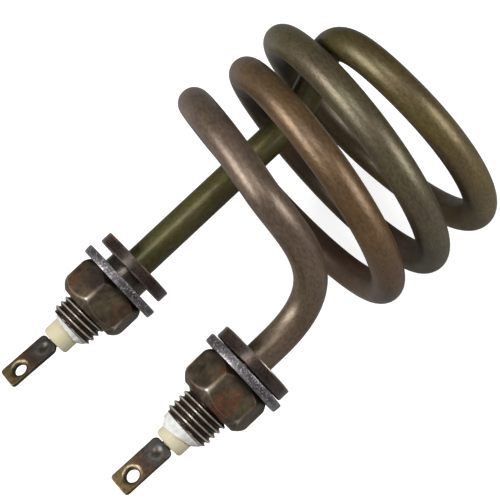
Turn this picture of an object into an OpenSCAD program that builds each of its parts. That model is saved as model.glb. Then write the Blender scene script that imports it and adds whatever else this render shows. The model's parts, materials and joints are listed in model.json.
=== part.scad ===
// Screw-in coiled tubular heating element: one sheathed element wound into a
// coil, with both legs leading out side by side through flanged, threaded
// bushings. +X runs along the legs into the coil, +Y from the short leg to the
// long leg, +Z is square to both legs. The origin lies midway between the legs,
// in the plane of the short leg's flange seat.

/* [Tube] */
// Outer diameter of the sheath
tube_d = 10; // [8:0.5:11]
// Wall of the sheath
sheath_wall = 0.8; // [0.5:0.1:1.2]
// Distance between the axes of the two legs
leg_spacing = 55; // [48:1:70]
// How much further out the long leg's bushing sits
leg_stagger = 5.5; // [0:0.5:12]
// Straight run of the short leg, from its seat to its bend
short_leg_run = 10.3; // [6:0.1:25]
// Straight run of the long leg, from the origin plane to its bend
long_leg_run = 59.5; // [50:0.5:70]

/* [Coil] */
// Mean radius of the coil's centreline
coil_r = 40; // [36:0.5:48]
// Advance of the coil in one turn
coil_pitch = 17.2; // [16:0.2:22]
// Place of the coil's second half turn along the legs
coil_x = 43; // [40:1:60]
// Room between the long leg and the inside of the coil
leg_room = 6.5; // [4:0.5:12]
// Height of the coil's axis above the legs
coil_lift = 2.5; // [-5:0.5:5]
// Droop of the coil's far end below the legs, degrees
coil_droop = 1.75; // [0:0.25:4]
// Swing of the coil's far end towards the short leg, degrees
coil_swing = 1.75; // [0:0.25:4]
// Half turns wound before the coil leaves for the short leg
first_half_turn = 0.486; // [0.4:0.01:0.6]
// Half turns wound where the coil leaves for the long leg
last_half_turn = 6.42; // [6.3:0.01:6.5]
// Reach of the short leg's bend along the leg
short_bend_leg = 30; // [22:0.5:36]
// Reach of the short leg's bend along the coil
short_bend_coil = 16.7; // [12:0.1:22]
// Reach of the long leg's bend along the leg
long_bend_leg = 27.5; // [20:0.5:34]
// Reach of the long leg's bend along the coil
long_bend_coil = 45.5; // [36:0.5:52]

/* [Threaded bushing] */
// Major diameter of the thread
thread_d = 16; // [14:0.5:20]
// Length of the bushing outside its flange
bushing_len = 25.5; // [20:0.5:34]
// Plain neck between flange and thread
neck_len = 3.5; // [2:0.5:6]
// Diameter of the plain neck
neck_d = 15.6; // [13:0.1:19]
// Diameter of the flange
flange_d = 26.6; // [22:0.2:36]
// Thickness of the flange
flange_t = 4.1; // [3:0.1:6]

/* [Nut and washer] */
// Width of the nut across its flats
nut_af = 23; // [21:0.5:30]
// Thickness of the nut
nut_t = 12.5; // [8:0.5:16]
// Outer diameter of the washer
washer_d = 29.3; // [26:0.1:36]
// Thickness of the washer
washer_t = 3; // [1.5:0.1:4]
// Gap that the long leg's washer stands off its flange
long_wall_gap = 2.95; // [0.4:0.05:6]
// Gap that the short leg's washer stands off its flange
short_wall_gap = 0.45; // [0.4:0.05:6]
// Turn of the long leg's nut, degrees
long_nut_turn = 35.5; // [0:0.5:60]
// Turn of the short leg's nut, degrees
short_nut_turn = 44.5; // [0:0.5:60]

/* [Terminals] */
// Diameter of the terminal pin
pin_d = 3.5; // [2.5:0.1:4]
// Diameter of the ceramic bead
bead_d = 10; // [7:0.5:12]
// Length of the ceramic bead
bead_len = 6.2; // [4:0.2:10]
// Gap between the bead and the tab
tab_gap = 0.5; // [0.3:0.1:2]
// Length of the terminal tab
tab_len = 18; // [14:0.5:26]
// Width of the terminal tab
tab_w = 7.8; // [7.6:0.1:12]
// Thickness of the terminal tab
tab_t = 1.5; // [0.8:0.1:2]
// Diameter of the screw hole in the tab
tab_hole_d = 4.3; // [3.2:0.1:4.5]
// Distance of the hole from the tab's outer end
tab_hole_in = 5.2; // [4:0.1:8]
// Offset of the hole from the tab's middle, towards -Y
tab_hole_off = 0.5; // [0:0.1:0.5]
// Depth of sealing compound outside the long leg's bushing
long_seal_out = 2; // [1:0.5:4]
// Depth of sealing compound outside the short leg's bushing
short_seal_out = 2.7; // [1:0.1:4]
// Upward bend of each tab, degrees
tab_rise = 3; // [0:0.5:5]
// Roll of the long leg's tab about its pin, degrees
long_tab_roll = 4; // [-15:1:15]
// Roll of the short leg's tab about its pin, degrees
short_tab_roll = -3; // [-15:1:15]
// Unheated length of the long leg's pin inside the bushing's seat
long_pin_cold = 32; // [10:1:45]
// Unheated length of the short leg's pin inside the bushing's seat
short_pin_cold = 6; // [3:1:9]

/* [Hidden] */
$fn = 64;

// Clearances and small edges, all in millimetres
braze_gap = 0.05;     // sheath in its bushing
fill_gap = 0.05;      // between sheath, fill and resistance coil
bead_gap = 0.3;       // pin in its bead
nut_gap = 0.25;       // nut over its thread, per side
washer_gap = 0.5;     // washer over its thread, per side
stack_gap = 0.05;     // between nut and washer
thread_edge = 1;      // chamfer at the thread's end
flange_edge = 0.4;    // chamfer of the flange's seat rim
washer_edge = 0.3;    // sheared edge of the washer
nut_ball = 3;         // the ball that rounds the nut's ends is this much over its corners
nut_front_in = 1.6;   // end face inside the flats, terminal side
nut_back_in = 0.3;    // end face inside the flats, washer side
nut_steps = 4;        // cones that draw each rounded end
bead_round = 0.5;     // rounding of the bead's outer rim
sink_t = 0.3;         // depth of the rolled-in edge of the tab's hole
sink_w = 1;           // width of the rolled-in edge of the tab's hole
tab_round = 1.2;      // corner radius of the tab
seal_bed = 0.5;       // compound between bushing and bead
seal_plug = 2.5;      // compound inside the mouth of the sheath
seal_rim = 0.5;       // compound round the bead at its outer edge
pin_flat = 0.4;       // height of the pin's flat above its axis
weld_len = 8;         // length of tab that lies on the pin
coil_wire_gap = 0.2;  // the resistance coil is this much fatter than its pin

long_y = leg_spacing / 2;
short_y = -leg_spacing / 2;
long_seat = -leg_stagger;
short_seat = 0;
wall_inner_r = tube_d / 2 - sheath_wall;
core_r = pin_d / 2 + coil_wire_gap;
coil_at = [coil_x, long_y - (coil_r - tube_d - leg_room), coil_lift];
tab_in = bushing_len + seal_bed + bead_len + tab_gap;

// Hand bending moves each half turn a little: along the axis, and in radius
half_turn_shift = [-7, 0, -1.5, 0.5, -2.5, -2, 0, -14];
half_turn_swell = [-0.5, 1.5, -1, -1.5, 1, -1, 0.5, 0];
half_turn_0_angle = 200.6;

// Steps along the coil and its two bends, and sides of each swept tube
steps_per_turn = 30;
long_bend_steps = 20;
short_bend_steps = 12;
sheath_sides = 16;
core_sides = 8;

// ---- Centreline ----

function unit(v) = v / norm(v);

// A smooth curve through a list of values, read at any place k
function item(v, i) = v[max(0, min(len(v) - 1, i))];
function through(v, k) =
    let (i = min(floor(k), len(v) - 2), t = k - i,
         a = item(v, i - 1), b = item(v, i), c = item(v, i + 1), d = item(v, i + 2))
    b + 0.5 * t * (c - a + t * (2 * a - 5 * b + 4 * c - d + t * (3 * (b - c) + d - a)));

function swung(p) = [p.x * cos(coil_swing) + p.y * sin(coil_swing),
                     p.y * cos(coil_swing) - p.x * sin(coil_swing), p.z];
function drooped(p) = [p.x * cos(coil_droop) + p.z * sin(coil_droop), p.y,
                       p.z * cos(coil_droop) - p.x * sin(coil_droop)];

// A point on the coil after k half turns, left-handed seen along +X
function coil_point(k) =
    let (x = coil_pitch / 2 * (k - 1) + through(half_turn_shift, k),
         r = coil_r + through(half_turn_swell, k),
         a = half_turn_0_angle - 180 * k)
    coil_at + drooped(swung([x, r * cos(a), r * sin(a)]));

coil_nudge = 0.001;
function coil_heading(k) = unit(coil_point(k + coil_nudge) - coil_point(k - coil_nudge));

// A bend from point a, leaving towards b, that arrives at d from c
function bend(a, b, c, d, steps) =
    [for (i = [0:steps]) let (t = i / steps, s = 1 - t)
        s * s * s * a + 3 * s * s * t * b + 3 * s * t * t * c + t * t * t * d];

function all_but_first(v) = [for (i = [1:len(v) - 1]) v[i]];

coil_start = coil_point(first_half_turn);
coil_end = coil_point(last_half_turn);
short_corner = [short_seat + short_leg_run, short_y, 0];
long_corner = [long_leg_run, long_y, 0];
coil_steps = ceil((last_half_turn - first_half_turn) / 2 * steps_per_turn);

short_bend = bend(short_corner, short_corner + [short_bend_leg, 0, 0],
                  coil_start - short_bend_coil * coil_heading(first_half_turn),
                  coil_start, short_bend_steps);
coil_run = [for (i = [0:coil_steps])
    coil_point(first_half_turn + (last_half_turn - first_half_turn) * i / coil_steps)];
long_bend = bend(coil_end, coil_end + long_bend_coil * coil_heading(last_half_turn),
                 long_corner + [long_bend_leg, 0, 0], long_corner, long_bend_steps);

// The whole centreline, between stations out on the short and the long leg
function centreline(short_x, long_x) =
    concat([[short_x, short_y, 0]], short_bend, all_but_first(coil_run),
           all_but_first(long_bend), [[long_x, long_y, 0]]);

// Least gap of the tube to itself, between points well apart along it
apart = 12;
winding = centreline(short_seat - bushing_len, long_seat - bushing_len);
self_gap = min([for (i = [0:len(winding) - 1 - apart])
    min([for (j = [i + apart:len(winding) - 1]) norm(winding[i] - winding[j])])]) - tube_d;
echo(least_gap_of_the_tube_to_itself = self_gap);

// ---- Swept tubes ----

function headings(p) =
    [for (i = [0:len(p) - 1]) unit(p[min(i + 1, len(p) - 1)] - p[max(i - 1, 0)])];
function squared(v, t) = unit(v - (v * t) * t);

// One normal per point, carried along so that the tube doesn't twist
function normals(t) =
    [for (i = 0, n = squared([0, 0, 1], t[0]); i < len(t);
          i = i + 1, n = i < len(t) ? squared(n, t[i]) : n) n];

function rings(p, r, sides) =
    let (t = headings(p), n = normals(t))
    [for (i = [0:len(p) - 1], j = [0:sides - 1]) let (a = 360 * j / sides)
        p[i] + r * (cos(a) * n[i] + sin(a) * cross(t[i], n[i]))];

// Triangles of a tube's wall, whose rings start at point number `first`
function wall_faces(count, sides, first, outward) =
    [for (i = [0:count - 2], j = [0:sides - 1])
        let (a = first + i * sides + j, b = first + i * sides + (j + 1) % sides,
             c = b + sides, d = a + sides)
        each (outward ? [[a, b, c], [a, c, d]] : [[a, c, b], [a, d, c]])];

// Triangles between an outer ring and an inner ring of 1 / m as many points
function mouth_faces(outer, inner, sides, m, forward) =
    [for (j = [0:sides / m - 1])
        let (p = inner + j, q = inner + (j + 1) % (sides / m))
        each concat(
            [let (last = outer + (m * j + m) % sides)
                forward ? [q, p, last] : [p, q, last]],
            [for (i = [0:m - 1])
                let (a = outer + m * j + i, b = outer + (m * j + i + 1) % sides)
                forward ? [a, b, p] : [b, a, p]])];

function disc_faces(first, sides, forward) =
    [for (j = [1:sides - 2])
        forward ? [first, first + j, first + j + 1] : [first, first + j + 1, first + j]];

// A pipe along a path: `sides` flats outside, 1 / m as many inside
module pipe(path, outer_r, inner_r, sides, m = 1) {
    count = len(path);
    inner = count * sides;
    polyhedron(
        concat(rings(path, outer_r, sides), rings(path, inner_r, sides / m)),
        concat(wall_faces(count, sides, 0, true),
               wall_faces(count, sides / m, inner, false),
               mouth_faces(0, inner, sides, m, false),
               mouth_faces((count - 1) * sides, inner + (count - 1) * sides / m,
                           sides, m, true)));
}

module rod(path, r, sides) {
    count = len(path);
    polyhedron(
        rings(path, r, sides),
        concat(wall_faces(count, sides, 0, true), disc_faces(0, sides, false),
               disc_faces((count - 1) * sides, sides, true)));
}

// ---- The element ----

module sheath() {
    color("#6b6049")
        pipe(centreline(short_seat - bushing_len, long_seat - bushing_len),
             tube_d / 2, wall_inner_r, sheath_sides, sheath_sides / core_sides);
}

module magnesia_fill() {
    inset = bushing_len - seal_plug;
    color("#e9e6dc")
        pipe(centreline(short_seat - inset, long_seat - inset),
             wall_inner_r - fill_gap, core_r + fill_gap, core_sides);
}

module resistance_coil() {
    color("#b9bcc0")
        rod(centreline(short_seat + short_pin_cold, long_seat + long_pin_cold),
            core_r, core_sides);
}

// ---- Fittings, drawn outwards along +Z from the flange's seat ----

module on_leg(seat_x, leg_y) translate([seat_x, leg_y, 0]) rotate([0, -90, 0]) children();

module bushing() {
    bore_r = tube_d / 2 + braze_gap;
    color("#4a3a30")
        rotate_extrude()
            polygon([[bore_r, -flange_t], [flange_d / 2, -flange_t],
                     [flange_d / 2, -flange_edge], [flange_d / 2 - flange_edge, 0],
                     [neck_d / 2, 0], [neck_d / 2, neck_len], [thread_d / 2, neck_len],
                     [thread_d / 2, bushing_len - thread_edge],
                     [thread_d / 2 - thread_edge, bushing_len], [bore_r, bushing_len]]);
}

module washer(wall_gap) {
    r = washer_d / 2;
    bore_r = thread_d / 2 + washer_gap;
    color("#7d7880")
        translate([0, 0, wall_gap])
            rotate_extrude()
                polygon([[bore_r, 0], [r - washer_edge, 0], [r, washer_edge],
                         [r, washer_t - washer_edge], [r - washer_edge, washer_t],
                         [bore_r, washer_t]]);
}

// Points from the end face out to the corners, where a ball rounds the nut's end
function nut_end(inset) =
    let (corner_r = nut_af / sqrt(3), ball_r = corner_r + nut_ball,
         face_r = nut_af / 2 - inset, top = sqrt(ball_r ^ 2 - face_r ^ 2))
    [for (k = [0:nut_steps])
        let (r = face_r + k / nut_steps * (corner_r - face_r))
        [r, top - sqrt(ball_r ^ 2 - r ^ 2)]];

// Half outline of the round-ended blank that the hexagon is cut from
module nut_blank() {
    back = nut_end(nut_back_in);
    front = nut_end(nut_front_in);
    polygon(concat(
        [[0, 0]],
        back,
        [for (k = [nut_steps:-1:0]) [front[k][0], nut_t - front[k][1]]],
        [[0, nut_t]]));
}

module nut(wall_gap, turn) {
    bore_r = thread_d / 2 + nut_gap;
    color("#5a4a3a")
        translate([0, 0, wall_gap + washer_t + stack_gap])
            rotate([0, 0, turn])
                difference() {
                    intersection() {
                        cylinder(h = nut_t, r = nut_af / sqrt(3), $fn = 6);
                        rotate_extrude() nut_blank();
                    }
                    translate([0, 0, -1]) cylinder(h = nut_t + 2, r = bore_r);
                }
}

// Potting: a plug in the sheath's mouth, a bed under the bead and a cone round it
module seal(out) {
    foot_r = thread_d / 2 - thread_edge;
    pin_r = pin_d / 2;
    bead_r = bead_d / 2;
    mouth_r = (wall_inner_r - fill_gap) * cos(180 / core_sides);
    color("#f2f1ee")
        translate([0, 0, bushing_len])
            rotate_extrude()
                polygon([[pin_r, -seal_plug], [mouth_r, -seal_plug], [mouth_r, 0],
                         [foot_r, 0], [foot_r, seal_bed], [bead_r + seal_rim, out],
                         [bead_r, out], [bead_r, seal_bed], [pin_r, seal_bed]]);
}

module bead() {
    r = bead_d / 2;
    hole_r = pin_d / 2 + bead_gap;
    color("#ddd6bd")
        translate([0, 0, bushing_len + seal_bed])
            rotate_extrude()
                polygon(concat(
                    [[hole_r, 0], [r, 0]],
                    [for (a = [0:30:90]) [r - bead_round * (1 - cos(a)),
                                          bead_len - bead_round * (1 - sin(a))]],
                    [[hole_r, bead_len]]));
}

// The pin's flat, where the tab is welded on: X up from the flat, Z along the tab
module at_tab(roll)
    rotate([0, 0, roll]) translate([pin_flat, 0, tab_in]) rotate([0, tab_rise, 0]) children();

// The pin, from its cold end inside the sheath to the flat that carries the tab
module pin(cold, roll) {
    color("#8d8a84")
        difference() {
            translate([0, 0, -cold]) cylinder(h = cold + tab_in + weld_len, r = pin_d / 2);
            at_tab(roll) translate([0, -pin_d, 0]) cube([pin_d, 2 * pin_d, 2 * weld_len]);
        }
}

// Outline of the tab, its inner end on the X axis
module tab_outline() {
    side = tab_w / 2 - tab_round;
    translate([-side, 0]) square([2 * side, tab_len]);
    translate([-tab_w / 2, tab_round]) square([tab_w, tab_len - 2 * tab_round]);
    for (x = [-side, side], y = [tab_round, tab_len - tab_round])
        translate([x, y]) circle(tab_round);
}

// The tab lies on the pin's flat, its hole at the outer end
module tab(roll) {
    color("#6a5d4a")
        at_tab(roll) rotate([90, 0, 90])
            difference() {
                linear_extrude(tab_t) tab_outline();
                translate([-tab_hole_off, tab_len - tab_hole_in, 0]) {
                    translate([0, 0, -1]) cylinder(h = tab_t + 2, d = tab_hole_d);
                    translate([0, 0, tab_t - sink_t])
                        cylinder(h = 2 * sink_t, d1 = tab_hole_d, d2 = tab_hole_d + 4 * sink_w);
                }
            }
}

module long_leg_pin() on_leg(long_seat, long_y) pin(long_pin_cold, long_tab_roll);
module short_leg_pin() on_leg(short_seat, short_y) pin(short_pin_cold, short_tab_roll);
module long_leg_bushing() on_leg(long_seat, long_y) bushing();
module short_leg_bushing() on_leg(short_seat, short_y) bushing();
module long_leg_washer() on_leg(long_seat, long_y) washer(long_wall_gap);
module short_leg_washer() on_leg(short_seat, short_y) washer(short_wall_gap);
module long_leg_nut() on_leg(long_seat, long_y) nut(long_wall_gap, long_nut_turn);
module short_leg_nut() on_leg(short_seat, short_y) nut(short_wall_gap, short_nut_turn);
module long_leg_seal() on_leg(long_seat, long_y) seal(long_seal_out);
module short_leg_seal() on_leg(short_seat, short_y) seal(short_seal_out);
module long_leg_bead() on_leg(long_seat, long_y) bead();
module short_leg_bead() on_leg(short_seat, short_y) bead();
module long_leg_tab() on_leg(long_seat, long_y) tab(long_tab_roll);
module short_leg_tab() on_leg(short_seat, short_y) tab(short_tab_roll);

sheath();
magnesia_fill();
resistance_coil();
long_leg_pin();
short_leg_pin();
long_leg_bushing();
short_leg_bushing();
long_leg_washer();
short_leg_washer();
long_leg_nut();
short_leg_nut();
long_leg_seal();
short_leg_seal();
long_leg_bead();
short_leg_bead();
long_leg_tab();
short_leg_tab();
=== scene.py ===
"""Studio scene of a coiled immersion heating element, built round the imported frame.

Lengths are in millimetres until a mesh is made. +X runs along the legs into the
coil, +Y from the short leg to the long leg, +Z up. "Out" is the distance from a
leg's flange seat towards its terminal, and an angle round a leg runs from +Y to +Z.
"""

import json
import math

import bmesh
import bpy
from mathutils import Matrix, Vector, noise

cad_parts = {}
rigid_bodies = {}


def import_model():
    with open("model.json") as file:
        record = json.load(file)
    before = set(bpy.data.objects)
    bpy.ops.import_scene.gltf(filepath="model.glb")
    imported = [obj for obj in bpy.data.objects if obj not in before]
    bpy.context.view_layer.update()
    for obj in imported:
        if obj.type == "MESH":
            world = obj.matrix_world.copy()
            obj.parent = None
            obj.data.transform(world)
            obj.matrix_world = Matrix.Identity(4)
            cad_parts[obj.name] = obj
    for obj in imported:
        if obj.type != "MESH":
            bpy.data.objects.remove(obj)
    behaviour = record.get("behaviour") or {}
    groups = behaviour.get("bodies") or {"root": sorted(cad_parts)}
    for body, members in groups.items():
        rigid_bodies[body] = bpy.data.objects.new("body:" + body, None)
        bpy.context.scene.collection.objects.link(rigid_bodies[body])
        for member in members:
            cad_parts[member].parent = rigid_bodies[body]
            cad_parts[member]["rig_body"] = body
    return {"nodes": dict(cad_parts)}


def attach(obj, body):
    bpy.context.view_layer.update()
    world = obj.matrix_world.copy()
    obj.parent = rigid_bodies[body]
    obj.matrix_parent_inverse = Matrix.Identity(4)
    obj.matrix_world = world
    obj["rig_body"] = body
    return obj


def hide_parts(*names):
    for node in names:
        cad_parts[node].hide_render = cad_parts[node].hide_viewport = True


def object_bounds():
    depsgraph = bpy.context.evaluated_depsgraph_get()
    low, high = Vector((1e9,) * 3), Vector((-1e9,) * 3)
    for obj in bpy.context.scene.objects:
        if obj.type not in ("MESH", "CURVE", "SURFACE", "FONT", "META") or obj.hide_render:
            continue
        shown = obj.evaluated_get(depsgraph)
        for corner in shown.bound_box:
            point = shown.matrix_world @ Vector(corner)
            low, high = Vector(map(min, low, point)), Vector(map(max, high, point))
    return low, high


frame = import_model()
cad_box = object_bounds()

MM = 0.001
TAU = 2 * math.pi

# ---- Camera: where the photograph was taken from ----

IMAGE_PX = 500
FOCAL_PX = 1363
SENSOR = 36
CAMERA_AT = Vector((-9.87, -228.33, 346.69))
CAMERA_FORWARD = Vector((0.08511, 0.55188, -0.82957))
CAMERA_UP = Vector((0.68280, 0.57404, 0.45194))


def add_camera():
    forward = CAMERA_FORWARD.normalized()
    right = forward.cross(CAMERA_UP).normalized()
    up = right.cross(forward)
    data = bpy.data.cameras.new("camera")
    data.sensor_width = SENSOR
    data.lens = SENSOR * FOCAL_PX / IMAGE_PX
    data.clip_start = 0.01
    camera = bpy.data.objects.new("camera", data)
    axes = Matrix((right, up, -forward)).transposed().to_4x4()
    camera.matrix_world = Matrix.Translation(CAMERA_AT * MM) @ axes
    bpy.context.scene.collection.objects.link(camera)
    bpy.context.scene.camera = camera


add_camera()

# ---- Sizes, as the frame has them ----

TUBE_R = 5
SHEATH_WALL = 0.8
LEG_SPACING = 55
LEG_STAGGER = 5.5
SHORT_LEG_RUN = 10.3
LONG_LEG_RUN = 59.5

COIL_R = 40
COIL_PITCH = 17.2
COIL_AT = Vector((43, 4, 2.5))
COIL_DROOP = math.radians(1.75)
COIL_SWING = math.radians(1.75)
FIRST_HALF_TURN = 0.486
LAST_HALF_TURN = 6.42
HALF_TURN_0_ANGLE = math.radians(200.6)
HALF_TURN_SHIFT = (-7, 0, -1.5, 0.5, -2.5, -2, 0, -14)
HALF_TURN_SWELL = (-0.5, 1.5, -1, -1.5, 1, -1, 0.5, 0)
SHORT_BEND_LEG, SHORT_BEND_COIL = 30, 16.7
LONG_BEND_LEG, LONG_BEND_COIL = 27.5, 45.5

THREAD_R = 8
THREAD_PITCH = 2
THREAD_DEPTH = 1
BUSHING_LEN = 25.5
NECK_LEN = 3.5
NECK_R = 7.8
FLANGE_R = 13.3
FLANGE_T = 4.1
NUT_AF = 23
NUT_T = 12.5
WASHER_R = 14.65
WASHER_T = 3
WASHER_BORE_R = 8.5
PIN_R = 1.75
PIN_FLAT = 0.4
WELD_LEN = 8
SEAL_BED = 0.5
SEAL_PLUG = 2.5
BEAD_R = 5
BEAD_LEN = 6.2
BEAD_HOLE_R = 2.05
TAB_IN = 32.7
TAB_LEN, TAB_W, TAB_T = 18, 7.8, 1.5
TAB_RISE = math.radians(3)
TAB_HOLE_R = 2.15
TAB_HOLE_IN = 5.2
TAB_HOLE_OFF = -0.5
TAB_WELD_AT = Vector((2.9, -0.2))
WIRE_R = 0.3
WIRE_TURN_R = 1.65
WIRE_PITCH = 1.8
FIT_GAP = 0.05
RUNNING_GAP = 0.05


class Leg:
    """One leg's own places: its flange seat along X, its Y, the gap from the seat to the
    washer, how far nut and tab are turned, in degrees, and how far the pin reaches inwards."""

    def __init__(self, name, seat, y, wall_gap, nut_turn, tab_roll, pin_cold):
        self.name = name
        self.seat = seat
        self.y = y
        self.wall_gap = wall_gap
        self.nut_corner = math.radians(90 - nut_turn)
        self.tab_roll = math.radians(tab_roll)
        self.pin_cold = pin_cold

    def at(self, out, radius, angle):
        return Vector((self.seat - out, self.y + radius * math.cos(angle), radius * math.sin(angle)))


LONG = Leg("long", -LEG_STAGGER, LEG_SPACING / 2, wall_gap=2.95, nut_turn=35.5, tab_roll=4, pin_cold=32)
SHORT = Leg("short", 0, -LEG_SPACING / 2, wall_gap=0.45, nut_turn=44.5, tab_roll=-3, pin_cold=6)

# ---- Meshes ----


def make_piece(name, points, faces, node, slot, paint, sharp_deg=35, **attributes):
    """A clean mesh from points in mm, riding with the CAD node that it replaces."""
    mesh = bpy.data.meshes.new(name)
    mesh.from_pydata([p * MM for p in points], [], faces)
    for key, values in attributes.items():
        kind = "FLOAT_VECTOR" if isinstance(values[0], Vector) else "FLOAT"
        layer = mesh.attributes.new(key, kind, "POINT")
        if kind == "FLOAT":
            layer.data.foreach_set("value", values)
        else:
            layer.data.foreach_set("vector", [c for v in values for c in v])
    bm = bmesh.new()
    bm.from_mesh(mesh)
    bmesh.ops.remove_doubles(bm, verts=bm.verts, dist=1e-6)
    bmesh.ops.recalc_face_normals(bm, faces=bm.faces)
    for face in bm.faces:
        face.smooth = True
    limit = math.radians(sharp_deg)
    for edge in bm.edges:
        if len(edge.link_faces) == 2:
            edge.smooth = edge.calc_face_angle(0) < limit
    bm.to_mesh(mesh)
    bm.free()
    piece = bpy.data.objects.new(name, mesh)
    bpy.context.scene.collection.objects.link(piece)
    mesh.materials.append(paint)
    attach(piece, frame["nodes"][node]["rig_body"])
    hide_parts(node)
    return piece


def grid_faces(rows, columns, first=0):
    """Quads between neighbouring rows of points, each row closed on itself."""
    return [(first + i * columns + j, first + i * columns + (j + 1) % columns,
             first + (i + 1) * columns + (j + 1) % columns, first + (i + 1) * columns + j)
            for i in range(rows - 1) for j in range(columns)]


def ring_piece(name, leg, profile, columns, node, slot, paint, sharp_deg=35):
    """A solid round a leg's axis. profile(angle) is a closed outline of (out, radius, wear and painted
    light).
    """
    points, wear = [], []
    for j in range(columns + 1):
        angle = leg.nut_corner + TAU * j / columns
        outline = profile(angle)
        points += [leg.at(out, radius, angle) for out, radius, _ in outline]
        wear += [float(w) for _, _, w in outline]
    return make_piece(name, points, grid_faces(columns + 1, len(outline)),
                      node, slot, paint, sharp_deg, wear=wear)


def smooth_step(low, high, x):
    t = min(max((x - low) / (high - low), 0), 1)
    return t * t * (3 - 2 * t)


def softer_least(a, b, width):
    """The smaller of two values, with the change from one to the other rounded."""
    h = max(width - abs(a - b), 0) / width
    return min(a, b) - h * h * width / 4


def bumpy(leg, out, radius, angle, size):
    """A repeatable value from -1 to 1 that changes over about `size` mm."""
    return noise.noise(leg.at(out, radius, angle) / size)


# ---- The tube's centreline ----


def through(values, k):
    """A smooth curve through a list of values, read at any place k."""
    i = min(int(k), len(values) - 2)
    t = k - i
    a, b, c, d = (values[max(0, min(len(values) - 1, i + n))] for n in (-1, 0, 1, 2))
    return b + 0.5 * t * (c - a + t * (2 * a - 5 * b + 4 * c - d + t * (3 * (b - c) + d - a)))


def coil_point(k):
    """A point on the coil's centreline after k half turns."""
    x = COIL_PITCH / 2 * (k - 1) + through(HALF_TURN_SHIFT, k)
    r = COIL_R + through(HALF_TURN_SWELL, k)
    angle = HALF_TURN_0_ANGLE - math.pi * k
    lean = Matrix.Rotation(COIL_DROOP, 3, "Y") @ Matrix.Rotation(-COIL_SWING, 3, "Z")
    return COIL_AT + lean @ Vector((x, r * math.cos(angle), r * math.sin(angle)))


def coil_heading(k):
    return (coil_point(k + 0.001) - coil_point(k - 0.001)).normalized()


def bend(a, b, c, d, steps):
    """Points after a, up to d, of the curve that leaves a towards b and reaches d from c."""
    out = []
    for i in range(1, steps + 1):
        t = i / steps
        s = 1 - t
        out.append(s ** 3 * a + 3 * s * s * t * b + 3 * s * t * t * c + t ** 3 * d)
    return out


def centreline(short_x, long_x, coil_steps=300, bend_steps=50):
    """The whole centreline between stations out on the short and the long leg."""
    short_corner = Vector((SHORT_LEG_RUN, SHORT.y, 0))
    long_corner = Vector((LONG_LEG_RUN, LONG.y, 0))
    start, end = coil_point(FIRST_HALF_TURN), coil_point(LAST_HALF_TURN)
    line = straight(Vector((short_x, SHORT.y, 0)), short_corner)
    line += bend(short_corner, short_corner + Vector((SHORT_BEND_LEG, 0, 0)),
                 start - SHORT_BEND_COIL * coil_heading(FIRST_HALF_TURN), start, bend_steps)
    turns = LAST_HALF_TURN - FIRST_HALF_TURN
    line += [coil_point(FIRST_HALF_TURN + turns * i / coil_steps) for i in range(1, coil_steps + 1)]
    line += bend(end, end + LONG_BEND_COIL * coil_heading(LAST_HALF_TURN),
                 long_corner + Vector((LONG_BEND_LEG, 0, 0)), long_corner, bend_steps)
    line += straight(long_corner, Vector((long_x, LONG.y, 0)))[1:]
    return line


def straight(a, b, step=2):
    count = max(1, round((b - a).length / step))
    return [a.lerp(b, i / count) for i in range(count + 1)]


def carried_frames(line):
    """At each point of a line: the distance along it, and two axes that don't twist."""
    frames = []
    side, along = Vector((0, 0, 1)), 0
    for i, p in enumerate(line):
        heading = (line[min(i + 1, len(line) - 1)] - line[max(i - 1, 0)]).normalized()
        side = (side - side.dot(heading) * heading).normalized()
        along += (p - line[i - 1]).length if i else 0
        frames.append((p, along, side, heading.cross(side)))
    return frames


# How far off the coil's axis the tube starts to count as coil, and where it is nothing else
COIL_NOT_YET, COIL_WHOLLY = 32, 37


def off_coil_axis(p):
    return math.hypot(p.y - COIL_AT.y, p.z - COIL_AT.z)


def swept_piece(name, line, outer_r, inner_r, sides, node, slot, paint):
    """A pipe along a line, whose vertices also know their place on the unbent pipe, and how
    far they face the inside of the coil."""
    points, unbent, inward = [], [], []
    for radius in (outer_r, inner_r):
        for p, along, u, v in carried_frames(line):
            for j in range(sides):
                a = TAU * j / sides
                points.append(p + radius * (math.cos(a) * u + math.sin(a) * v))
                facing = (off_coil_axis(p) - off_coil_axis(points[-1])) / radius
                inward.append(facing * smooth_step(COIL_NOT_YET, COIL_WHOLLY, off_coil_axis(p)))
                unbent.append(Vector((along, radius * math.cos(a), radius * math.sin(a))) * MM)
    rows = len(line)
    inner = rows * sides
    faces = grid_faces(rows, sides) + grid_faces(rows, sides, inner)
    for end in (0, (rows - 1) * sides):
        faces += [(end + j, end + (j + 1) % sides, inner + end + (j + 1) % sides, inner + end + j)
                  for j in range(sides)]
    return make_piece(name, points, faces, node, slot, paint, unbent=unbent, inward=inward)


def wire_piece(name, line, node, slot, paint, sides=5, steps_per_turn=10):
    """The resistance wire, wound round the tube's centreline."""
    frames = carried_frames(line)
    length = frames[-1][1]
    steps = int(length / WIRE_PITCH * steps_per_turn)
    wound, i = [], 0
    for n in range(steps + 1):
        s = length * n / steps
        while i < len(frames) - 2 and frames[i + 1][1] < s:
            i += 1
        (p, s0, u, v), (q, s1, _, _) = frames[i], frames[i + 1]
        a = TAU * n / steps_per_turn
        centre = p.lerp(q, (s - s0) / (s1 - s0))
        wound.append(centre + WIRE_TURN_R * (math.cos(a) * u + math.sin(a) * v))
    points = []
    for p, _, u, v in carried_frames(wound):
        points += [p + WIRE_R * (math.cos(TAU * j / sides) * u + math.sin(TAU * j / sides) * v)
                   for j in range(sides)]
    faces = grid_faces(len(wound), sides)
    faces += [tuple(range(sides)), tuple(len(points) - sides + j for j in range(sides))]
    return make_piece(name, points, faces, node, slot, paint, sharp_deg=80)


# ---- Materials ----


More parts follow.
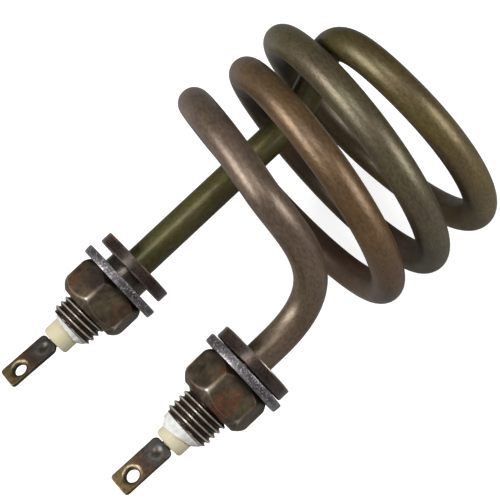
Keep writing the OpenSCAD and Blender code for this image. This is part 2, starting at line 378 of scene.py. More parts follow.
def rgb(red, green, blue):
    """A colour as seen on screen, 0 to 255, in the renderer's own linear values."""
    return tuple((c / 255 / 12.92) if c < 10.3 else ((c / 255 + 0.055) / 1.055) ** 2.4
                 for c in (red, green, blue)) + (1,)


class Paint:
    """A node material, written from its coordinates up to its shader."""

    def __init__(self, name, metallic=0.0, specular=0.5):
        self.material = bpy.data.materials.new(name)
        self.material.use_nodes = True
        self.tree = self.material.node_tree
        self.shader = self.tree.nodes["Principled BSDF"]
        self.shader.inputs["Metallic"].default_value = metallic
        self.shader.inputs["Specular IOR Level"].default_value = specular
        self.place = self.add("ShaderNodeTexCoord").outputs["Object"]

    def add(self, kind, **inputs):
        made = self.tree.nodes.new(kind)
        for key, value in inputs.items():
            socket = made.inputs[key.replace("_", " ")]
            if isinstance(value, bpy.types.NodeSocket):
                self.tree.links.new(value, socket)
            else:
                socket.default_value = value
        return made

    def attribute(self, name, output="Fac"):
        made = self.add("ShaderNodeAttribute")
        made.attribute_name = name
        return made.outputs[output]

    def stretched(self, place, x, y, z):
        made = self.add("ShaderNodeMapping", Vector=place)
        made.inputs["Scale"].default_value = (x, y, z)
        return made.outputs["Vector"]

    def noise(self, size_mm, place=None, detail=3.0, roughness=0.5, distortion=0.0):
        made = self.add("ShaderNodeTexNoise", Vector=place or self.place, Scale=1000 / size_mm,
                        Detail=detail, Roughness=roughness, Distortion=distortion)
        return made.outputs["Fac"]

    def ramp(self, value, *stops):
        """Colours or greys at places from 0 to 1."""
        made = self.add("ShaderNodeValToRGB", Fac=value)
        band = made.color_ramp
        while len(band.elements) < len(stops):
            band.elements.new(0.5)
        for element, (place, colour) in zip(band.elements, stops):
            element.position = place
            element.color = colour if isinstance(colour, tuple) else (colour, colour, colour, 1)
        return made.outputs["Color"]

    def mix(self, share, a, b, how="MIX"):
        """From a at a share of 0 or less to b at 1 or more."""
        made = self.tree.nodes.new("ShaderNodeMix")
        made.data_type = "RGBA"
        made.blend_type = how
        for index, value in ((0, share), (6, a), (7, b)):
            if isinstance(value, bpy.types.NodeSocket):
                self.tree.links.new(value, made.inputs[index])
            else:
                made.inputs[index].default_value = value
        return made.outputs[2]

    def calc(self, how, a, b):
        """Two values or sockets put together by a Math node."""
        made = self.tree.nodes.new("ShaderNodeMath")
        made.operation = how
        for index, value in enumerate((a, b)):
            if isinstance(value, bpy.types.NodeSocket):
                self.tree.links.new(value, made.inputs[index])
            else:
                made.inputs[index].default_value = value
        return made.outputs[0]

    def bump(self, height, distance_mm, strength=1.0, below=None):
        made = self.add("ShaderNodeBump", Height=height, Distance=distance_mm * MM, Strength=strength)
        if below is not None:
            self.tree.links.new(below, made.inputs["Normal"])
        return made.outputs["Normal"]

    def finish(self, colour, roughness, normal):
        self.tree.links.new(colour, self.shader.inputs["Base Color"])
        self.tree.links.new(roughness, self.shader.inputs["Roughness"])
        self.tree.links.new(normal, self.shader.inputs["Normal"])
        return self.material


def sheath_paint():
    """Stainless tube with a baked-on patina: olive on the long leg, bronze in the coil."""
    p = Paint("sheath_patina", metallic=0.5, specular=0.7)
    unbent = p.attribute("unbent", "Vector")
    split = p.add("ShaderNodeSeparateXYZ", Vector=unbent)
    along = p.calc("DIVIDE", split.outputs["X"], TUBE_LENGTH * MM)
    wander = p.calc("MULTIPLY", p.noise(45, detail=1), 0.03)
    along = p.calc("ADD", along, wander)
    tint = p.ramp(along,
                  (0.00, rgb(108, 90, 64)), (0.08, rgb(118, 101, 81)), (0.14, rgb(118, 99, 84)),
                  (0.22, rgb(116, 94, 73)), (0.33, rgb(118, 90, 56)), (0.44, rgb(106, 87, 60)),
                  (0.52, rgb(96, 89, 66)), (0.62, rgb(100, 93, 66)), (0.70, rgb(123, 110, 68)),
                  (0.80, rgb(122, 106, 60)), (0.88, rgb(88, 80, 38)), (1.00, rgb(89, 86, 37)))
    blotch = p.ramp(p.noise(14, detail=4, distortion=0.4), (0.35, 0.0), (0.7, 1.0))
    colour = p.mix(p.calc("MULTIPLY", blotch, 0.45), tint, rgb(60, 47, 38))
    bloom = p.ramp(p.noise(8, p.stretched(unbent, 0.35, 1, 1), detail=4), (0.45, 0.0), (0.66, 1.0))
    colour = p.mix(p.calc("MULTIPLY", bloom, 0.3), colour, rgb(90, 64, 50))
    grain = p.noise(0.7, p.stretched(unbent, 0.5, 1, 1), detail=3, roughness=0.6)
    colour = p.mix(0.6, colour, p.ramp(grain, (0.36, 0.4), (0.64, 1.05)), "MULTIPLY")
    speck = p.ramp(p.noise(0.8, detail=2), (0.64, 0.0), (0.72, 1.0))
    colour = p.mix(p.calc("MULTIPLY", speck, 0.3), colour, rgb(44, 35, 27))
    # Painted shade: darker where the tube faces the inside of the coil.
    painted_shade_inside = p.calc("MULTIPLY", p.attribute("inward"), 0.75)
    colour = p.mix(painted_shade_inside, colour, rgb(50, 35, 28))
    roughness = p.ramp(p.noise(5, detail=5, roughness=0.6), (0.3, 0.37), (0.75, 0.46))
    normal = p.bump(grain, 0.06, 0.7)
    normal = p.bump(p.noise(0.9, detail=3), 0.08, 0.6, normal)
    return p.finish(colour, roughness, normal)


def fitting_paint(name, dark, brown, rust, rust_share, bright, brightening_gain=1.0, metallic=0.7,
                  dull=0.65, polish=0.24, sparkle=0.0, relief=1.0):
    """Dark scaled steel with rust patches. The wear attribute runs from -1, black:
    painted shade in thread grooves and at the nuts' backs, with some dirt, over 0, plain, to 1, rubbed
    bright and smooth: wear, and on thread crests and nut corners also a painted highlight."""
    p = Paint(name, metallic=metallic)
    patch = p.ramp(p.noise(7, detail=5, roughness=0.6), (0.35, 0.0), (0.65, 1.0))
    colour = p.mix(patch, dark, brown)
    rusty = p.ramp(p.noise(5.5, p.stretched(p.place, 0.6, 1.3, 1), detail=7, roughness=0.65),
                   (0.6 - rust_share, 0.0), (0.72 - rust_share, 1.0))
    colour = p.mix(p.calc("MULTIPLY", rusty, 0.65), colour, rust)
    mottle = p.noise(1.7, detail=8, roughness=0.7)
    colour = p.mix(0.7, colour, p.ramp(mottle, (0.36, 0.45), (0.6, 1.15)), "MULTIPLY")
    grain = p.noise(0.5, detail=4, roughness=0.6)
    colour = p.mix(0.5, colour, p.ramp(grain, (0.25, 0.4), (0.7, 1.0)), "MULTIPLY")
    fleck = p.ramp(p.noise(0.6, detail=6, roughness=0.7), (0.53, 0.0), (0.64, 1.0))
    colour = p.mix(p.calc("MULTIPLY", fleck, sparkle), colour, bright)
    wear_and_light_level = p.attribute("wear")
    rub_and_highlight = p.calc("MULTIPLY", wear_and_light_level, p.ramp(p.noise(5, detail=3), (0.35, 0.35), (0.6, 1.0)))
    rub_and_highlight = p.calc("MULTIPLY", rub_and_highlight, brightening_gain)
    # Brightened where rubbed: wear, and on thread crests and nut corners also a painted highlight.
    colour = p.mix(rub_and_highlight, colour, bright)
    # Darkened below zero: painted shade in thread grooves and at the nuts' backs beside the washers,
    # with some dirt.
    colour = p.mix(p.calc("MULTIPLY", wear_and_light_level, -0.7), colour, rgb(26, 22, 19))
    unworn = p.ramp(grain, (0.3, dull - 0.2), (0.7, dull))
    roughness = p.mix(p.calc("MULTIPLY", rub_and_highlight, 2.5), unworn, (polish, polish, polish, 1))
    normal = p.bump(grain, 0.05 * relief, 0.6)
    normal = p.bump(p.noise(2.5, detail=3), 0.12, 0.4, normal)
    return p.finish(colour, roughness, normal)


def tab_paint():
    """Terminal tab: olive brown at its end, heat-blued steel round the weld."""
    p = Paint("tab_heat_tint", metallic=0.8)
    heat = p.calc("ADD", p.attribute("weld_tint"), p.calc("MULTIPLY", p.noise(3, detail=3), 0.14))
    colour = p.ramp(heat,
                    (0.06, rgb(108, 92, 57)), (0.22, rgb(88, 67, 49)), (0.45, rgb(74, 60, 53)),
                    (0.66, rgb(76, 72, 71)), (0.95, rgb(80, 80, 78)))
    rusty = p.ramp(p.noise(1.5, detail=4, roughness=0.6), (0.52, 0.0), (0.64, 1.0))
    colour = p.mix(p.calc("MULTIPLY", rusty, 0.35), colour, rgb(108, 72, 44))
    stain = p.ramp(p.noise(2.2, detail=5, roughness=0.6, distortion=1.5), (0.45, 0.0), (0.6, 1.0))
    colour = p.mix(p.calc("MULTIPLY", stain, 0.55), colour, rgb(56, 48, 38))
    wear_and_light_level = p.attribute("wear")
    # Brightened: a painted highlight on one side of the hole's mouth.
    colour = p.mix(wear_and_light_level, colour, rgb(196, 182, 142))
    # Darkened: painted shade on the hole's bore wall and the inner half of its mouth; the sheared edges
    # are darkened too.
    colour = p.mix(p.calc("MULTIPLY", wear_and_light_level, -1), colour, rgb(44, 38, 36))
    grain = p.noise(0.4, p.stretched(p.place, 0.3, 1, 1), detail=3)
    roughness = p.ramp(grain, (0.3, 0.3), (0.7, 0.48))
    normal = p.bump(grain, 0.02, 0.5)
    normal = p.bump(p.noise(1.8, detail=2), 0.08, 0.4, normal)
    return p.finish(colour, roughness, normal)


def mineral_paint(name, light, dark, size_mm, bump_mm, stain=0.3):
    """A dull white or cream mineral: ceramic, potting or powder."""
    p = Paint(name, specular=0.35)
    mottle = p.noise(size_mm, detail=5, roughness=0.6)
    darkening = p.ramp(mottle, (0.4, 0.0), (0.8, 1.0))
    colour = p.mix(p.calc("MULTIPLY", darkening, stain), light, dark)
    fine = p.noise(size_mm / 6, detail=3)
    roughness = p.ramp(fine, (0.3, 0.55), (0.7, 0.8))
    normal = p.bump(mottle, bump_mm, 0.6)
    normal = p.bump(fine, bump_mm / 4, 0.6, normal)
    return p.finish(colour, roughness, normal)


# ---- The element ----

tube_line = centreline(SHORT.seat - BUSHING_LEN, LONG.seat - BUSHING_LEN)
TUBE_LENGTH = carried_frames(tube_line)[-1][1]
fill_out = BUSHING_LEN - SEAL_PLUG
fill_line = centreline(SHORT.seat - fill_out, LONG.seat - fill_out, 150, 25)
wire_line = centreline(SHORT.seat + SHORT.pin_cold, LONG.seat + LONG.pin_cold)
SHEATH_INNER_R = TUBE_R - SHEATH_WALL
WIRE_HOLE_R = WIRE_TURN_R + WIRE_R + FIT_GAP

white_potting = mineral_paint("white_potting", rgb(203, 203, 200), rgb(150, 149, 142), 1.5, 0.4,
                              stain=0.6)
cream_ceramic = mineral_paint("cream_ceramic", rgb(187, 180, 150), rgb(154, 143, 114), 3.5, 0.05)
magnesia = mineral_paint("packed_magnesia", rgb(236, 234, 226), rgb(206, 202, 190), 1.5, 0.1)
bushing_steel = fitting_paint("bushing_steel", rgb(52, 42, 38), rgb(76, 61, 54), rgb(92, 48, 32), 0.05,
                              rgb(222, 212, 188), brightening_gain=1.1, metallic=0.45, dull=0.4, polish=0.22,
                              relief=0.15)
washer_steel = fitting_paint("washer_steel", rgb(57, 52, 54), rgb(80, 72, 73), rgb(92, 68, 60), -0.1,
                             rgb(200, 195, 200), brightening_gain=0.3, sparkle=0.75)
nut_steel = fitting_paint("nut_steel", rgb(55, 45, 36), rgb(98, 87, 67), rgb(104, 58, 34), 0.1,
                          rgb(205, 197, 178), brightening_gain=0.8, polish=0.36)
pin_steel = fitting_paint("pin_steel", rgb(120, 112, 100), rgb(104, 92, 78), rgb(96, 66, 46), 0.0,
                          rgb(170, 164, 150))
wire_alloy = fitting_paint("wire_alloy", rgb(132, 132, 134), rgb(118, 114, 112), rgb(110, 96, 84), 0.0,
                           rgb(170, 170, 170))
tab_steel = tab_paint()

swept_piece("sheath_tube", tube_line, TUBE_R, SHEATH_INNER_R, 40,
            "sheath", "sheath_steel", sheath_paint())
swept_piece("magnesia_packing", fill_line, SHEATH_INNER_R - FIT_GAP, WIRE_HOLE_R, 16,
            "magnesia_fill", "magnesia", magnesia)
wire_piece("wound_heating_wire", wire_line, "resistance_coil", "resistance_wire", wire_alloy)

# ---- Threads ----

# One tooth of the thread: (share of the pitch, share of the depth that stands)
TOOTH = ((0.0, 1.0), (0.12, 1.0), (0.22, 0.85), (0.38, 0.3),
         (0.50, 0.0), (0.66, 0.0), (0.78, 0.3), (0.92, 0.85))
THREAD_RUN_OUT = 0.7
THREAD_CHAMFER = 1
THREAD_END = 0.2      # no brightening or darkening so near to the thread's ends


def thread_wear_and_painted_light(stands):
    """Crest brightened, partly wear and partly painted highlight; groove darkened as painted shade."""
    return max(4.2 * stands - 3.5, 0.8 * stands - 0.7)


def thread_rows(angle, start, end, radius_at):
    """Up a thread at one angle: rows follow the helix, and are held between two ends."""
    rows = []
    for turn in range(int(start / THREAD_PITCH) - 1, int(end / THREAD_PITCH) + 3):
        for share, stands in TOOTH:
            out = THREAD_PITCH * (turn + share - angle / TAU)
            held = min(max(out, start), end)
            radius = radius_at(held, stands)
            inside = start + THREAD_END < held < end - THREAD_END
            rows.append((held, radius, thread_wear_and_painted_light(stands) if inside else 0.0))
    return rows


def outer_thread_r(out, stands):
    full = smooth_step(NECK_LEN, NECK_LEN + THREAD_RUN_OUT, out)
    radius = THREAD_R - THREAD_DEPTH * (1 - stands) * full
    return min(radius, THREAD_R - THREAD_CHAMFER + (BUSHING_LEN - out))


# ---- Fittings ----


def add_bushing(leg):
    bore_r = TUBE_R + FIT_GAP

    def profile(angle):
        rim = FLANGE_R - 0.06 + 0.06 * bumpy(leg, 0, FLANGE_R, angle, 5)
        lip = max(0.12 * bumpy(leg, 4, FLANGE_R, angle, 4), 0)
        back = -FLANGE_T
        flange = [(back + 0.15, bore_r, 0), (back + 0.15, rim - 1.2, 0),
                  (back + lip, rim - 0.5, 0.15), (back + 0.12, rim - 0.12, 0.3),
                  (back + 0.4, rim, 0.1), (back + 0.8, rim - 0.03, 0),
                  (back / 2, rim - 0.05, 0), (-0.75, rim - 0.03, 0),
                  (-0.4, rim - 0.02, 0.05), (-0.12, rim - 0.2, 0.15), (0, rim - 0.5, 0.05),
                  (0, rim - 1.5, 0), (0, NECK_R, 0.1), (NECK_LEN, NECK_R, 0.1)]
        thread = thread_rows(angle, NECK_LEN, BUSHING_LEN, outer_thread_r)
        return flange + thread + [(BUSHING_LEN, bore_r, 0)]

    ring_piece(leg.name + "_threaded_bushing", leg, profile, 96,
               leg.name + "_leg_bushing", "bushing_steel", bushing_steel, sharp_deg=24)


def add_washer(leg):
    low, high = leg.wall_gap, leg.wall_gap + WASHER_T

    def profile(angle):
        small_chips = 0.14 * abs(bumpy(leg, low, WASHER_R, angle, 1.6))
        large_chips = 0.08 * abs(bumpy(leg, 9, WASHER_R, angle, 6))
        rim = WASHER_R - small_chips - large_chips
        torn = 0.1 * bumpy(leg, 20, WASHER_R, angle, 1.2)
        return [(low, WASHER_BORE_R, 0), (low, rim - 1.5, 0), (low, rim - 0.35, 0.5),
                (low + 0.15, rim - 0.1, 1), (low + 0.5, rim, 0.5), (low + 1.2 + torn, rim - 0.02, 0.2),
                (high - 1.1 + torn, rim - 0.06, 0.5), (high - 0.5, rim - 0.12, 0.7),
                (high - 0.15, rim - 0.25, 1), (high, rim - 0.55, 0.6), (high, rim - 1.5, 0),
                (high, WASHER_BORE_R, 0)]

    ring_piece(leg.name + "_flat_washer", leg, profile, 160,
               leg.name + "_leg_washer", "washer_steel", washer_steel, sharp_deg=40)


NUT_CORNER_R = NUT_AF / math.sqrt(3)
NUT_BALL_R = NUT_CORNER_R + 3        # the ball that rounds both ends
NUT_FRONT_R = NUT_AF / 2 - 1.6       # the end faces' radii
NUT_BACK_R = NUT_AF / 2 - 0.3
NUT_THREAD_GAP = 0.15
NUT_SHRINK = 0.05                    # keeps the dents inside the CAD's nut
NUT_CLEAR_R = THREAD_R - THREAD_DEPTH - 0.05    # what keeps inside this, the nut passes over


def nut_end(face_r, steps=12):
    """(height, radius) from a nut's end face out to its corners, rounded by a ball."""
    top = math.sqrt(NUT_BALL_R ** 2 - face_r ** 2)
    radii = [face_r + (NUT_CORNER_R - face_r) * i / steps for i in range(steps + 1)]
    return [(top - math.sqrt(NUT_BALL_R ** 2 - r * r), r) for r in radii]


def nut_outline():
    """(height, radius) up the round-ended blank that the nut's hexagon is cut from."""
    middle = [(NUT_T * share, NUT_CORNER_R) for share in (0.3, 0.45, 0.6)]
    front = [(NUT_T - height, r) for height, r in reversed(nut_end(NUT_FRONT_R))]
    return nut_end(NUT_BACK_R) + middle + front


def nut_wear_and_painted_light(leg, height, angle, flat_r, blank_r):
    """Bright on the arcs round the flats, partly wear and partly painted highlight, with a painted
    glint where two flats meet; darker beside the washer and behind the back chamfer, painted shade with
    some dirt.
    """
    from_arc = abs(flat_r - blank_r)
    ridge = 1 - smooth_step(0.0, 0.3, from_arc)
    near = 1 - smooth_step(0.1, 0.6, from_arc)
    corner = smooth_step(NUT_CORNER_R - 0.6, NUT_CORNER_R - 0.1, flat_r)
    edge = smooth_step(NUT_CORNER_R - 0.7, NUT_CORNER_R - 0.15, flat_r)
    # Painted highlight: the glint where two flats meet is strongest towards the front end.
    front = smooth_step(0.4, 0.85, height / NUT_T)
    meeting = near * edge * (0.15 + 0.85 * front)
    # Painted shade with some dirt: darker beside the washer, and behind the chamfer on the back half.
    darkening = 0.7 * (1 - smooth_step(0.5, 3.5, height + bumpy(leg, 3, flat_r, angle, 3)))
    if height < NUT_T / 2:
        behind_arc = smooth_step(0.05, 0.45, flat_r - blank_r)
        darkening = max(darkening, 0.9 * behind_arc) * (1 - ridge)
    return max(0.2 * ridge, 0.12 * corner, meeting) - darkening


def add_nut(leg):
    low = leg.wall_gap + WASHER_T + RUNNING_GAP
    high = low + NUT_T

    def hexagon_r(angle):
        off = (angle - leg.nut_corner) % (TAU / 6) - TAU / 12
        return NUT_AF / 2 / math.cos(off)

    def bore_r(out, stands):
        mouth = THREAD_R + 0.6 - min(out - low, high - out)
        return max(outer_thread_r(NECK_LEN + 5, stands) + NUT_THREAD_GAP, mouth)

    def profile(angle):
        flat_r = hexagon_r(angle)
        outer = []
        for height, blank_r in nut_outline():
            dent = 0.05 * bumpy(leg, height, flat_r, angle, 5)
            radius = softer_least(softer_least(flat_r, blank_r, 0.6), NUT_CORNER_R - 0.15, 0.6) + dent
            wear = nut_wear_and_painted_light(leg, height, angle, flat_r, blank_r)
            outer.append((low + height, radius - NUT_SHRINK, wear))
        inner = thread_rows(angle, low, high, bore_r)
        return outer + list(reversed(inner))

    ring_piece(leg.name + "_hex_nut", leg, profile, 240,
               leg.name + "_leg_nut", "nut_steel", nut_steel, sharp_deg=38)


def add_seal(leg):
    """White potting, put on by hand: it leans to one side, with a raised flake on the short leg."""
    mouth_r = SHEATH_INNER_R - 0.35
    bead_r = BEAD_R + 0.02
    thin, thick = (0.15, 1.4) if leg is LONG else (1.2, 3.3)
    thick_side = math.radians(185 if leg is LONG else 55)
    flake_side = math.radians(48)

    def profile(angle):
        lean = 0.5 + 0.5 * math.cos(angle - thick_side)
        lump = bumpy(leg, 28, 6, angle, 2.2)
        rise = thin + (thick - thin) * lean ** 1.3 + 0.2 * lump
        spread = min(1, 0.1 + 1.8 * lean) if leg is LONG else 1
        flake = 0.0
        if leg is SHORT:
            flake = 1.6 * math.exp(-(((angle - flake_side + math.pi) % TAU - math.pi) / 0.25) ** 2)
        foot = bead_r + 0.2 + (THREAD_R - THREAD_CHAMFER - 0.35 - bead_r) * spread + 0.12 * lump
        foot = min(foot + 0.5 * flake, NUT_CLEAR_R)
        shoulder = bead_r + 0.35 + 0.25 * lump
        low, top = BUSHING_LEN + SEAL_BED, BUSHING_LEN + SEAL_BED + rise
        cone = []
        for share in (0.0, 0.15, 0.3, 0.45, 0.6, 0.75, 0.9, 1.0):
            swell = 1.2 * bumpy(leg, 26 + 4 * share, 6, angle, 1.5) * share * (1 - share) * spread
            cone.append((low + flake * (1 - share) ** 4 + rise * share,
                         foot + (shoulder - foot) * share + swell, 0))
        return ([(BUSHING_LEN - SEAL_PLUG, PIN_R, 0), (BUSHING_LEN - SEAL_PLUG, mouth_r, 0),
                 (BUSHING_LEN, mouth_r, 0), (BUSHING_LEN, foot, 0)] + cone
                + [(top, bead_r + 0.1, 0), (top - 0.1, bead_r, 0), (low, bead_r, 0), (low, PIN_R, 0)])

    ring_piece(leg.name + "_potting", leg, profile, 120,
               leg.name + "_leg_seal", "sealing_compound", white_potting, sharp_deg=50)


def add_bead(leg):
    low, high = BUSHING_LEN + SEAL_BED, BUSHING_LEN + SEAL_BED + BEAD_LEN
    rim = 1.0

    def profile(angle):
        radius = BEAD_R - 0.05 + 0.05 * bumpy(leg, 30, BEAD_R, angle, 4)
        rounded = [(high - rim * (1 - math.sin(a)), radius - rim * (1 - math.cos(a)), 0)
                   for a in (math.radians(d) for d in range(0, 91, 15))]
        hole = [(high, BEAD_HOLE_R + 0.3, 0), (high - 0.3, BEAD_HOLE_R, 0), (low, BEAD_HOLE_R, 0)]
        foot = [(low, radius - 0.3, 0), (low + 0.3, radius, 0), (low + 2.5, radius + 0.03, 0)]
        return foot + rounded + hole

    ring_piece(leg.name + "_ceramic_bead", leg, profile, 96,
               leg.name + "_leg_bead", "ceramic", cream_ceramic, sharp_deg=50)


def rolled(leg, out, across, up):
    """A point beside a leg's axis, in the plane of its rolled tab."""
    c, s = math.cos(leg.tab_roll), math.sin(leg.tab_roll)
    return Vector((leg.seat - out, leg.y + across * c + up * s, up * c - across * s))


def on_tab(leg, along, across, up):
    """A point on the risen tab: along from its inner end, and up from the pin's flat."""
    c, s = math.cos(TAB_RISE), math.sin(TAB_RISE)
    return rolled(leg, TAB_IN + along * c - up * s, across, PIN_FLAT + along * s + up * c)


def add_pin(leg):
    """The terminal pin, round inside and pressed flat on top where the tab is welded on."""
    columns = 48
    ring = [TAU * j / columns for j in range(columns)]
    points = []
    for out, share in ((-leg.pin_cold, 0.8), (0.4 - leg.pin_cold, 1), (TAB_IN, 1)):
        points += [rolled(leg, out, PIN_R * share * math.cos(a), PIN_R * share * math.sin(a))
                   for a in ring]
    for along, share, drop in ((0, 1, 0), (WELD_LEN - 0.5, 1, 0), (WELD_LEN - 0.1, 0.85, 0.1),
                               (WELD_LEN, 0.6, 0.3)):
        for a in ring:
            flat = PIN_FLAT + along * math.tan(TAB_RISE) - drop
            points.append(rolled(leg, TAB_IN + along, PIN_R * share * math.cos(a),
                                 min(PIN_R * share * math.sin(a), flat)))
    faces = grid_faces(len(points) // columns, columns)
    faces += [tuple(range(columns)), tuple(len(points) - columns + j for j in range(columns))]
    make_piece(leg.name + "_terminal_pin", points, faces, leg.name + "_leg_pin", "pin_steel", pin_steel,
               wear=[0.0] * len(points))


def tab_outline():
    """Round the tab from the middle of its inner end: (out, across), corners rounded."""
    corner_out, corner_in = 1.1, 1.6
    half = TAB_W / 2
    path = []
    for radius, out, across, start in ((corner_in, corner_in, half - corner_in, 180),
                                       (corner_out, TAB_LEN - corner_out, half - corner_out, 90),
                                       (corner_out, TAB_LEN - corner_out, corner_out - half, 0),
                                       (corner_in, corner_in, corner_in - half, -90)):
        path += [(out + radius * math.cos(math.radians(start - d)),
                  across + radius * math.sin(math.radians(start - d))) for d in range(0, 91, 15)]
    return path


def even_loop(path, count):
    """`count` points spread evenly along a closed path."""
    closed = [Vector(p) for p in path] + [Vector(path[0])]
    length = sum((b - a).length for a, b in zip(closed, closed[1:]))
    out, i, passed = [], 0, 0.0
    for n in range(count):
        want = length * n / count
        while passed + (closed[i + 1] - closed[i]).length < want:
            passed += (closed[i + 1] - closed[i]).length
            i += 1
        out.append(closed[i].lerp(closed[i + 1], (want - passed) / (closed[i + 1] - closed[i]).length))
    return out


def weld_dent(away):
    """How deep the spot weld's dimple is, with the low ring that it raised round itself."""
    return 0.22 * math.exp(-(away / 1.1) ** 2) - 0.12 * math.exp(-((away - 1.9) / 0.7) ** 2)


def add_tab(leg):
    """Flat tab with sheared edges, a punched hole with a rolled-in mouth, and its spot weld."""
    hole = Vector((TAB_LEN - TAB_HOLE_IN, TAB_HOLE_OFF))
    weld = TAB_WELD_AT
    mouth_w, mouth_t, edge = 1.3, 0.35, 0.2
    rings, columns = 20, 160
    rim = even_loop(tab_outline(), columns)
    spokes = [(q - hole).normalized() for q in rim]

    def round_hole(radius, z, wear_and_light_level):
        """A ring of the hole. Its brightening is a painted highlight, on its +Y side alone, the side
        the light falls on; its darkening is painted shade.
        """
        lit = [smooth_step(-0.1, 0.9, 0.97 * spoke.y - 0.25 * spoke.x) *
               (0.75 + noise.noise(Vector((spoke.x, spoke.y, leg.y)) * 3)) for spoke in spokes]
        return [(hole + spoke * radius, z, wear_and_light_level * side if wear_and_light_level > 0 else wear_and_light_level)
                for spoke, side in zip(spokes, lit)]

    def across_face(share, z, wear_and_light_level):
        return [((hole + spoke * (TAB_HOLE_R + mouth_w)).lerp(q - spoke * edge, share), z, wear_and_light_level)
                for q, spoke in zip(rim, spokes)]

    def round_rim(inset, z, wear_and_light_level):
        return [(q - spoke * inset, z, wear_and_light_level) for q, spoke in zip(rim, spokes)]

    # The bore wall and the mouth's inner half are painted shade; the mouth's outer half carries a
    # painted highlight.
    loops = [round_hole(TAB_HOLE_R, 0, 0.0), round_hole(TAB_HOLE_R - 0.1, 0.1, -1),
             round_hole(TAB_HOLE_R, TAB_T - mouth_t - 0.1, -1)]
    loops += [round_hole(TAB_HOLE_R + mouth_w * t, TAB_T - mouth_t * (1 - t) ** 2, wear_and_light_level)
              for t, wear_and_light_level in ((0.0, -1), (0.12, -1), (0.25, -0.7), (0.4, 0.1), (0.6, 0.9), (0.8, 0.5))]
    loops += [across_face(i / rings, TAB_T, 0.0) for i in range(rings + 1)]
    loops += [round_rim(0.06, TAB_T - 0.06, 0.1), round_rim(0, TAB_T - edge, -0.7),
              round_rim(0, edge, -0.7), round_rim(edge, 0, 0.0)]
    points, wear, weld_tint = [], [], []
    for row in loops:
        for q, z, wear_and_light_level in row:
            away = (q - weld).length
            wave = 0.04 * noise.noise(Vector((q.x, q.y, leg.y)) / 3)
            hollow = weld_dent(away) + 0.12 * math.exp(-(away / 4) ** 2)
            press = min(wave - hollow, 0) if z > TAB_T / 2 else 0
            points.append(on_tab(leg, q.x, q.y, z + press))
            wear.append(float(wear_and_light_level))
            weld_tint.append(math.exp(-(away / 5.2) ** 2))
    faces = grid_faces(len(loops), columns)
    last = (len(loops) - 1) * columns
    faces += [(last + j, last + (j + 1) % columns, (j + 1) % columns, j) for j in range(columns)]
    make_piece(leg.name + "_terminal_tab", points, faces, leg.name + "_leg_tab", "tab_steel", tab_steel,
               sharp_deg=50, wear=wear, weld_tint=weld_tint)


for leg in (LONG, SHORT):
    add_bushing(leg)
    add_washer(leg)
    add_nut(leg)
    add_seal(leg)
    add_bead(leg)
    add_pin(leg)
    add_tab(leg)

# ---- Floor, light and background ----

FLOOR_GAP = 1
FLOOR_HALF = 3000
FLOOR_GREY = 0.32
GLOW_NEAR, GLOW_FAR = 0.86, 1.0      # the floor's glow within and beyond these distances, in m
GLOW_FROM, GLOW_TO = 0.3, 1.0
LAMP_FAR = 700
LAMPS_AIM = Vector((20, 0, 0))
WORLD_LIGHT, WORLD_SEEN = 0.1, 1.0


def floor_material():
    """Pale floor that the camera sees as white, but for its shadows. Far off, where the
    softboxes don't reach, its glow makes up for them."""
    p = Paint("pale_floor", specular=0.2)
    p.shader.inputs["Base Color"].default_value = (FLOOR_GREY, FLOOR_GREY, FLOOR_GREY, 1)
    p.shader.inputs["Roughness"].default_value = 0.9
    path = p.add("ShaderNodeLightPath")
    seen = p.calc("MAXIMUM", path.outputs["Is Camera Ray"], path.outputs["Is Transmission Ray"])
    glow = p.add("ShaderNodeEmission")
    away = p.tree.nodes.new("ShaderNodeVectorMath")
    away.operation = "LENGTH"
    p.tree.links.new(p.place, away.inputs[0])
    level = p.add("ShaderNodeMapRange", Value=away.outputs["Value"], From_Min=GLOW_FROM,
                  From_Max=GLOW_TO, To_Min=GLOW_NEAR, To_Max=GLOW_FAR)
    p.tree.links.new(p.calc("MULTIPLY", seen, level.outputs["Result"]), glow.inputs["Strength"])
    both = p.tree.nodes.new("ShaderNodeAddShader")
    p.tree.links.new(p.shader.outputs["BSDF"], both.inputs[0])
    p.tree.links.new(glow.outputs["Emission"], both.inputs[1])
    p.tree.links.new(both.outputs["Shader"], p.tree.nodes["Material Output"].inputs["Surface"])
    return p.material


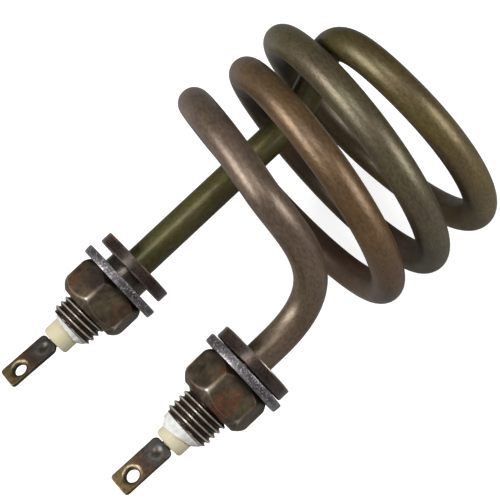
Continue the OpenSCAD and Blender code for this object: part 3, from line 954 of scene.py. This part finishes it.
def add_floor():
    level = cad_box[0][2] / MM - FLOOR_GAP
    corners = [Vector((x, y, level)) * MM for x, y in
               ((-FLOOR_HALF, -FLOOR_HALF), (FLOOR_HALF, -FLOOR_HALF),
                (FLOOR_HALF, FLOOR_HALF), (-FLOOR_HALF, FLOOR_HALF))]
    mesh = bpy.data.meshes.new("floor")
    mesh.from_pydata(corners, [], [(0, 1, 2, 3)])
    mesh.materials.append(floor_material())
    floor = bpy.data.objects.new("floor", mesh)
    bpy.context.scene.collection.objects.link(floor)


def add_lamp(name, direction, size, tall, watts):
    """An oval softbox LAMP_FAR from the object, in that direction."""
    place = LAMPS_AIM + Vector(direction).normalized() * LAMP_FAR
    data = bpy.data.lights.new(name, "AREA")
    data.shape = "ELLIPSE"
    data.size = size * MM
    data.size_y = tall * MM
    data.energy = watts
    lamp = bpy.data.objects.new(name, data)
    lamp.location = place * MM
    lamp.rotation_euler = (LAMPS_AIM - place).to_track_quat("-Z", "Y").to_euler()
    bpy.context.scene.collection.objects.link(lamp)


def add_world():
    """White where the camera sees it, and a faint even light on the object."""
    world = bpy.data.worlds.new("studio")
    bpy.context.scene.world = world
    world.use_nodes = True
    tree = world.node_tree
    path = tree.nodes.new("ShaderNodeLightPath")
    seen = tree.nodes.new("ShaderNodeMath")
    seen.operation = "MAXIMUM"
    tree.links.new(path.outputs["Is Camera Ray"], seen.inputs[0])
    tree.links.new(path.outputs["Is Transmission Ray"], seen.inputs[1])
    level = tree.nodes.new("ShaderNodeMapRange")
    tree.links.new(seen.outputs[0], level.inputs["Value"])
    level.inputs["To Min"].default_value = WORLD_LIGHT
    level.inputs["To Max"].default_value = WORLD_SEEN
    tree.links.new(level.outputs["Result"], tree.nodes["Background"].inputs["Strength"])
    tree.nodes["Background"].inputs["Color"].default_value = (1, 1, 1, 1)


add_floor()
add_world()
add_lamp("left_softbox", (-0.59, 0.27, 0.76), 580, 380, 6.1)
add_lamp("right_softbox", (0.57, -0.76, 0.33), 400, 400, 3.5)
add_lamp("overhead_softbox", (0.09, -0.18, 0.98), 260, 260, 1.5)
bpy.context.scene.view_settings.view_transform = "Standard"
